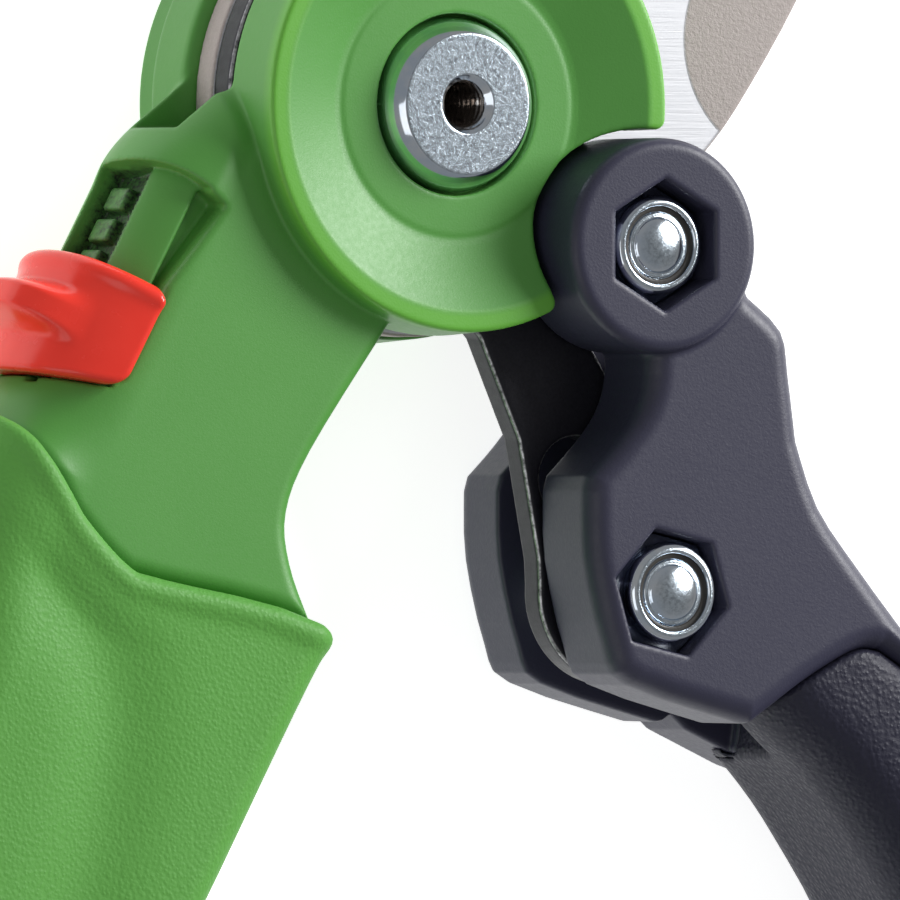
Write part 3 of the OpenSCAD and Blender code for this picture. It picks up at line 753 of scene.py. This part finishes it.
class Nodes:
    """Short names for building a node tree on object coordinates, in millimetres."""

    def __init__(self, mat):
        self.tree = mat.node_tree
        self.shader = self.tree.nodes["Principled BSDF"]
        coords = self.tree.nodes.new("ShaderNodeTexCoord")
        scale = self.tree.nodes.new("ShaderNodeVectorMath")
        scale.operation = "SCALE"
        scale.inputs["Scale"].default_value = 1 / MM
        self.tree.links.new(coords.outputs["Object"], scale.inputs[0])
        self.place = scale.outputs[0]

    def link(self, a, b):
        self.tree.links.new(a, b)

    def stretched(self, sx, sy, sz, turn=0.0):
        node = self.tree.nodes.new("ShaderNodeMapping")
        node.inputs["Scale"].default_value = (sx, sy, sz)
        node.inputs["Rotation"].default_value = (0, 0, turn)
        self.link(self.place, node.inputs["Vector"])
        return node.outputs[0]

    def noise(self, size, detail=2.0, rough=0.5, place=None):
        """Noise whose features measure about size millimetres."""
        node = self.tree.nodes.new("ShaderNodeTexNoise")
        node.inputs["Scale"].default_value = 1 / size
        node.inputs["Detail"].default_value = detail
        node.inputs["Roughness"].default_value = rough
        self.link(place or self.place, node.inputs["Vector"])
        return node.outputs["Fac"]

    def cells(self, size, feature="F1"):
        node = self.tree.nodes.new("ShaderNodeTexVoronoi")
        node.feature = feature
        node.inputs["Scale"].default_value = 1 / size
        self.link(self.place, node.inputs["Vector"])
        return node.outputs["Distance"]

    def to_range(self, value, a, b, c, d):
        node = self.tree.nodes.new("ShaderNodeMapRange")
        for socket, number in zip(("From Min", "From Max", "To Min", "To Max"), (a, b, c, d)):
            node.inputs[socket].default_value = number
        self.link(value, node.inputs["Value"])
        return node.outputs[0]

    def math(self, kind, a, b):
        node = self.tree.nodes.new("ShaderNodeMath")
        node.operation = kind
        for socket, value in zip(node.inputs, (a, b)):
            if isinstance(value, (int, float)):
                socket.default_value = value
            else:
                self.link(value, socket)
        return node.outputs[0]

    def split(self, place=None):
        node = self.tree.nodes.new("ShaderNodeSeparateXYZ")
        self.link(place or self.place, node.inputs[0])
        return node.outputs

    def round_the_pivot(self):
        """Distance from the main pivot's axis, and the place along it."""
        x, y, z = self.split()
        square = self.math("ADD", self.math("MULTIPLY", x, x), self.math("MULTIPLY", y, y))
        return self.math("SQRT", square, 0), z

    def facing(self):
        """How far the surface faces along the pivots' axes."""
        geometry = self.tree.nodes.new("ShaderNodeNewGeometry")
        return self.split(geometry.outputs["Normal"])[2]

    def mix(self, fac, a, b):
        node = self.tree.nodes.new("ShaderNodeMix")
        node.data_type = "RGBA"
        self.link(fac, node.inputs["Factor"])
        for socket, value in zip((node.inputs[6], node.inputs[7]), (a, b)):
            if isinstance(value, tuple):
                socket.default_value = (*value, 1)
            else:
                self.link(value, socket)
        return node.outputs[2]

    def colour(self, value):
        self.link(value, self.shader.inputs["Base Color"])

    def rough(self, value):
        self.link(value, self.shader.inputs["Roughness"])

    def bump(self, height, depth, after=None):
        """Bump from a height of 0 to 1, depth millimetres deep."""
        node = self.tree.nodes.new("ShaderNodeBump")
        node.inputs["Strength"].default_value = 1.0
        node.inputs["Distance"].default_value = depth * MM
        self.link(height, node.inputs["Height"])
        if after is not None:
            self.link(after, node.inputs["Normal"])
        self.link(node.outputs[0], self.shader.inputs["Normal"])
        return node.outputs[0]


def moulded(name, colour, light, rough, grain, depth):
    """Satin moulded plastic with a fine spark-eroded surface and slight cloudiness."""
    mat = material(name, colour, rough, specular=0.45)
    n = Nodes(mat)
    cloud = n.to_range(n.noise(9, 3), 0.35, 0.65, 0, 0.35)
    n.base = n.mix(cloud, colour, light)
    n.colour(n.base)
    n.rough(n.to_range(n.noise(0.5, 3), 0.3, 0.7, rough - 0.03, rough + 0.04))
    n.bump(n.noise(grain, 2.5, 0.6), depth)
    return mat, n


def glowing_rim(n):
    """Painted glow: light coming through the thin rim of the dish, painted into its colour as a lighter
    green.
    """
    r, z = n.round_the_pivot()
    near = n.math("MULTIPLY", n.to_range(r, DISH_RIM_R - 0.3, DISH_RIM_R + 0.5, 0, 0.7),
                  n.to_range(r, HEAD_R + 0.4, HEAD_R + 0.6, 1, 0))
    n.base = n.mix(n.math("MULTIPLY", near, n.to_range(z, 8.6, 10.1, 0, 1)), n.base, GREEN_RIM_GLOW)


def shade_and_grime_track(n):
    """Darkens the channel of the thumb lock with painted shade, darkest where the channel lies deepest, and
    with ground-in dirt.
    """
    u, v, z = n.split(n.stretched(1, 1, 1, NECK_LEAN))
    across = n.math("MULTIPLY", n.to_range(z, CHANNEL_BACK - 0.3, CHANNEL_BACK, 0, 1),
                    n.to_range(z, CHANNEL_FRONT, CHANNEL_FRONT + 0.3, 1, 0))
    along = n.math("MULTIPLY", n.to_range(v, -46, -45, 0, 1),
                   n.to_range(v, TRACK_TOP + 0.2, TRACK_TOP + 1.2, 1, 0))
    deep = n.to_range(n.math("ADD", u, n.math("MULTIPLY", n.noise(0.9, 3, 0.6), 2.2)), -22.2, -21.0, 0, 1)
    inside = n.math("MULTIPLY", n.math("MULTIPLY", across, along), deep)
    grain = n.to_range(n.noise(0.35, 3, 0.7), 0.4, 0.62, 0.55, 1)
    # near-black painted shade and dirt deep in the channel
    n.colour(n.mix(n.math("MULTIPLY", inside, grain), n.base, (0.012, 0.016, 0.014)))


def leather(name, colour, light, rough, size, depth):
    """Soft moulding with a leather grain."""
    mat = material(name, colour, rough, specular=0.3)
    n = Nodes(mat)
    pebble = n.to_range(n.cells(size, "SMOOTH_F1"), 0.1, 0.75, 1, 0)
    fine = n.noise(size * 0.4, 2, 0.6)
    grain = n.math("ADD", n.math("MULTIPLY", pebble, 0.75), n.math("MULTIPLY", fine, 0.35))
    cloud = n.to_range(n.noise(11, 3), 0.35, 0.65, 0, 0.35)
    n.colour(n.mix(cloud, colour, light))
    n.rough(n.to_range(grain, 0.2, 0.9, rough + 0.1, rough - 0.05))
    n.bump(grain, depth)
    return mat


GREEN = (0.094, 0.325, 0.058)
GREEN_LIGHT = (0.112, 0.36, 0.072)
# lighter green painted on the dish's rim as a glow of light coming through it
GREEN_RIM_GLOW = (0.155, 0.5, 0.045)
BLACK = (0.033, 0.033, 0.062)
BLACK_LIGHT = (0.042, 0.041, 0.072)
RED = (0.94, 0.044, 0.026)
ZINC = (0.74, 0.78, 0.82)
STEEL = (0.56, 0.57, 0.59)
TAUPE = (0.48, 0.42, 0.40)

green_plastic, green_nodes = moulded("green_plastic", GREEN, GREEN_LIGHT, 0.42, 0.22, 0.012)
glowing_rim(green_nodes)
shade_and_grime_track(green_nodes)
green_grip = leather("green_grip", (0.115, 0.37, 0.062), (0.135, 0.41, 0.08), 0.52, 0.36, 0.05)
black_plastic, _ = moulded("black_plastic", BLACK, BLACK_LIGHT, 0.42, 0.25, 0.022)
black_grip = leather("black_grip", (0.017, 0.017, 0.034), (0.025, 0.025, 0.044), 0.48, 0.45, 0.09)


def glossy(name, colour, light):
    """Shiny moulded plastic with slight waviness."""
    mat = material(name, colour, 0.2, coat=0.1, specular=0.4)
    n = Nodes(mat)
    n.colour(n.mix(n.to_range(n.noise(5, 2), 0.35, 0.65, 0, 1), colour, light))
    n.rough(n.to_range(n.noise(2.2, 4), 0.35, 0.7, 0.17, 0.3))
    n.bump(n.noise(3.0, 2), 0.03)
    return mat


def zinc_material(name, bore_r=0.0):
    """Bright zinc plate: speckled across the axis, nearly mirror smooth on the flanks, with painted shade in
    the bore.
    """
    mat = material(name, ZINC, 0.25, metal=1.0)
    n = Nodes(mat)
    facing = n.to_range(n.facing(), 0.9, 0.99, 0, 1)
    speck = n.noise(0.3, 3, 0.75)
    plate = n.mix(n.to_range(n.noise(2.4, 3), 0.35, 0.65, 0, 1), ZINC, (0.60, 0.69, 0.80))
    pits = n.math("MULTIPLY", facing, n.to_range(n.noise(0.4, 4, 0.8), 0.44, 0.62, 0.1, 0.7))
    plate = n.mix(pits, n.mix(facing, plate, (0.53, 0.60, 0.66)), (0.17, 0.20, 0.23))
    if bore_r:
        # painted shade: a dark brownish grey inside the bore, below its mouth
        r, z = n.round_the_pivot()
        inside = n.math("MULTIPLY", n.to_range(r, bore_r, bore_r + 0.08, 1, 0), n.to_range(z, 8.6, 9.3, 1, 0))
        plate = n.mix(inside, plate, (0.26, 0.235, 0.215))
    n.colour(plate)
    n.rough(n.to_range(facing, 0, 1, 0.1, 0.27))
    n.bump(n.math("MULTIPLY", speck, facing), 0.035)
    return mat


def bright_steel(name, colour, rough, size, depth):
    """Plain steel with slight unevenness."""
    mat = material(name, colour, rough, metal=1.0)
    n = Nodes(mat)
    n.colour(n.mix(n.noise(1.6, 3), colour, tuple(0.82 * c for c in colour)))
    n.rough(n.to_range(n.noise(0.8, 3), 0.3, 0.7, rough - 0.06, rough + 0.1))
    n.bump(n.noise(size, 3), depth)
    return mat


# middle and radius of the coated area's round end, in the jaw's own frame
COAT_X = 30.5
COAT_Y = 26.5
COAT_R = 11.1


def jaw_material():
    """Brushed steel where the blade bears, and an orange-peel coating beyond a round boundary."""
    mat = material("coated_jaw", TAUPE, 0.5)
    n = Nodes(mat)
    x, y, _ = n.split(n.stretched(1, 1, 1, JAW_LEAN))
    front = n.to_range(n.facing(), 0.85, 0.95, 0, 1)
    below = n.math("MAXIMUM", n.math("SUBTRACT", COAT_Y, y), 0.0)
    above = n.math("MAXIMUM", n.math("SUBTRACT", y, COAT_Y), 0.0)
    across = n.math("ADD", n.math("SUBTRACT", x, COAT_X), n.math("MULTIPLY", above, 0.3))
    square = n.math("ADD", n.math("MULTIPLY", across, across), n.math("MULTIPLY", below, below))
    coated = n.to_range(n.math("SQRT", square, 0), COAT_R, COAT_R + 0.25, 1, 0)
    bare = n.math("MULTIPLY", n.math("SUBTRACT", 1.0, coated), front)
    scratch = n.noise(0.35, 3, 0.7, n.stretched(0.05, 1.6, 1))
    peel = n.noise(0.32, 3, 0.6)
    coat = n.mix(peel, TAUPE, (0.36, 0.315, 0.295))
    n.colour(n.mix(bare, coat, n.mix(scratch, (0.80, 0.81, 0.84), (0.62, 0.63, 0.66))))
    n.link(bare, n.shader.inputs["Metallic"])
    n.rough(n.to_range(bare, 0, 1, 0.55, 0.36))
    height = n.math("MULTIPLY", peel, n.to_range(bare, 0, 1, 1, 0))
    n.bump(n.math("ADD", height, n.math("MULTIPLY", scratch, 0.12)), 0.09)
    return mat


def blade_material():
    """Black oxide with bright worn arrises and a ground face at the cutting edge."""
    mat = material("black_steel", (0.012, 0.012, 0.016), 0.34, metal=0.5)
    n = Nodes(mat)
    _, along, _ = n.split(n.stretched(1, 1, 1, BLADE_LEAN))
    tilt = n.math("ABSOLUTE", n.facing(), 0)
    ground = n.math("MULTIPLY", n.to_range(tilt, 0.94, 0.97, 1, 0), n.to_range(tilt, 0.84, 0.88, 0, 1))
    ground = n.math("MULTIPLY", ground, n.to_range(along, 20, 22, 0, 1))
    arris = n.math("MULTIPLY", n.to_range(tilt, 0.35, 0.5, 0, 1), n.to_range(tilt, 0.82, 0.92, 1, 0))
    arris = n.math("MULTIPLY", arris, n.to_range(n.noise(0.6, 3, 0.6), 0.3, 0.6, 0.1, 0.9))
    streak = n.noise(0.3, 3, 0.65, n.stretched(1, 1, 0.12))
    dark = n.mix(streak, (0.006, 0.006, 0.010), (0.024, 0.023, 0.033))
    n.colour(n.mix(ground, n.mix(arris, dark, (0.5, 0.5, 0.52)), (0.7, 0.71, 0.73)))
    n.link(n.to_range(n.math("ADD", ground, arris), 0, 1, 0.4, 1.0), n.shader.inputs["Metallic"])
    n.rough(n.to_range(n.noise(0.8, 3), 0.3, 0.7, 0.3, 0.42))
    n.bump(n.noise(0.22, 3, 0.6), 0.012)
    return mat


red_plastic = glossy("red_plastic", RED, (0.98, 0.05, 0.03))
zinc_steel = zinc_material("zinc_steel")
sleeve_steel = zinc_material("sleeve_steel", 2.5)
spring_steel = bright_steel("spring_steel", STEEL, 0.3, 0.3, 0.01)
# painted shade: the lock bar is made near-black steel so that the slit it shows through reads as shade
slit_shade_steel = bright_steel("slit_shade_steel", (0.06, 0.06, 0.07), 0.4, 0.3, 0.01)
bronze = bright_steel("bronze", (0.62, 0.42, 0.2), 0.35, 0.2, 0.02)
coated_jaw = jaw_material()
black_steel = blade_material()
nylon, _ = moulded("nylon", (0.03, 0.028, 0.025), (0.05, 0.045, 0.04), 0.38, 0.3, 0.02)

# ---------- pieces ----------

finished(
    carve("handle_shell", handle_field, (-47, -57, -13), (22.5, 22.5, 11), HEAD_CELL),
    "body", "green_plastic", green_plastic, "handle_body",
)
finished(
    carve("handle_soft_grip", grip_field, (-79, -148, -13), (1, -19, 11), GRIP_CELL),
    "body", "green_grip", green_grip, "handle_grip",
)
finished(
    carve("jaw_plate", jaw_field, (-46, -70, -3.5), (50, 58, 0.2), PLATE_CELL),
    "body", "coated_jaw", coated_jaw, "counter_jaw",
)
finished(
    carve("blade_plate", blade_whole, (-22, -55, -0.2), (31, 71, 3.5), PLATE_CELL),
    "blade", "black_steel", black_steel, "blade",
)
finished(
    carve("lever_head", fork_field, (8, -65, -13), (53, -1, 15), HEAD_CELL),
    "lever", "black_plastic", black_plastic, "lever_fork",
)
finished(
    carve("lever_soft_grip", lever_grip_field, (24, -147, -13), (87, -46, 13), GRIP_CELL),
    "lever", "black_grip", black_grip, "lever_grip",
)
finished(
    carve("sleeve_head", sleeve_field, (-8.3, -8.3, -8.2), (8.3, 8.3, 10.2), SLEEVE_CELL),
    "body", "zinc_steel", sleeve_steel, "pivot_sleeve",
)
BOLT_PLACES = ((*FULCRUM, 0.0), (*DRIVE, 0.0))
NUT_PLACES = ((*FULCRUM, FULCRUM_NUT_TURN), (*DRIVE, DRIVE_NUT_TURN))
finished(
    carve("nuts", nut_field, (-6, -6, 6.8), (6, 6, 13.3), NUT_CELL, NUT_PLACES),
    "lever", "zinc_steel", zinc_steel, "lock_nuts",
)
finished(
    carve("nut_rings", insert_field, (-4, -4, 11.1), (4, 4, 12.8), NUT_CELL, BOLT_PLACES),
    "lever", "nylon", nylon, "nut_inserts",
)
finished(
    carve("bolts", bolt_field, (-5.3, -5.3, -12.1), (5.3, 5.3, 13.7), BOLT_CELL, BOLT_PLACES),
    "lever", "zinc_steel", zinc_steel, "fork_bolts",
)
finished(
    carve("thumb_slider", slider_field, (-50, -37, -13), (-28, -8, 11), SLIDER_CELL),
    "lock", "red_plastic", red_plastic, "lock_slider",
)

# ---------- CAD nodes that keep their shape ----------

KEPT = {
    "fulcrum_bush": bronze,
    "blade_bush": bronze,
    "pivot_screw": zinc_steel,
    "pivot_spring_washer": spring_steel,
    # near-black bar stands in for the shade in its slit
    "lock_bar": slit_shade_steel,
    "detent_spring": spring_steel,
    "fulcrum_spacer": zinc_steel,
    "fulcrum_washer": zinc_steel,
    "drive_sleeve": spring_steel,
    "drive_spacer": zinc_steel,
    "return_spring": spring_steel,
}
for name, mat in KEPT.items():
    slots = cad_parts[name].material_slots
    for s in slots:
        s.material = mat

# ---------- floor, light and camera ----------


def plane(name, size, z):
    """Square plane at a height."""
    half = size / 2
    mesh = bpy.data.meshes.new(name)
    corners = [(-half, -half, z), (half, -half, z), (half, half, z), (-half, half, z)]
    mesh.from_pydata(corners, [], [(0, 1, 2, 3)])
    ob = bpy.data.objects.new(name, mesh)
    bpy.context.scene.collection.objects.link(ob)
    return ob


FLOOR_WIDTH = 6.0
FLOOR_GLOW = 0.8
floor = plane("floor", FLOOR_WIDTH, RIM_BACK * MM)
floor_look = material("floor_look", (0.94, 0.94, 0.94), 0.7)
floor_shader = floor_look.node_tree.nodes["Principled BSDF"]
floor_shader.inputs["Emission Color"].default_value = (1, 1, 1, 1)
floor_shader.inputs["Emission Strength"].default_value = FLOOR_GLOW
floor.data.materials.append(floor_look)

world = bpy.data.worlds.new("studio")
bpy.context.scene.world = world
world.use_nodes = True
world.node_tree.nodes["Background"].inputs["Color"].default_value = (1, 1, 1, 1)
world.node_tree.nodes["Background"].inputs["Strength"].default_value = 0.27


def softbox(name, place, aim, size, power):
    """Square area light aimed at a point."""
    light = bpy.data.lights.new(name, "AREA")
    light.size = size
    light.energy = power
    ob = bpy.data.objects.new(name, light)
    ob.location = place
    ob.rotation_mode = "QUATERNION"
    ob.rotation_quaternion = (Vector(aim) - Vector(place)).to_track_quat("-Z", "Y")
    bpy.context.scene.collection.objects.link(ob)
    return ob


MIDDLE = (0.004, -0.031, 0.0)
softbox("key", (0.64, 0.28, 0.42), MIDDLE, 0.42, 8.5)
softbox("fill", (-0.6, -0.2, 0.5), MIDDLE, 0.5, 0.8)

camera_data = bpy.data.cameras.new("camera")
camera = bpy.data.objects.new("camera", camera_data)
bpy.context.scene.collection.objects.link(camera)
camera_data.lens = 900
camera_data.sensor_width = 36
VIEW_WIDTH = 0.0818
TILT = math.radians(30)
towards = Vector((-math.sin(TILT), 0, math.cos(TILT)))
distance = VIEW_WIDTH / 2 / math.tan(math.atan(camera_data.sensor_width / 2 / camera_data.lens))
camera.location = Vector((3.83 * MM, -31.27 * MM, 0)) + towards * distance
upwards = Vector((0, 1, 0))
camera.rotation_mode = "QUATERNION"
camera.rotation_quaternion = Matrix((upwards.cross(towards), upwards, towards)).transposed().to_quaternion()
camera_data.clip_start = 0.01
camera_data.clip_end = 20
bpy.context.scene.camera = camera
bpy.context.scene.view_settings.view_transform = "Standard"
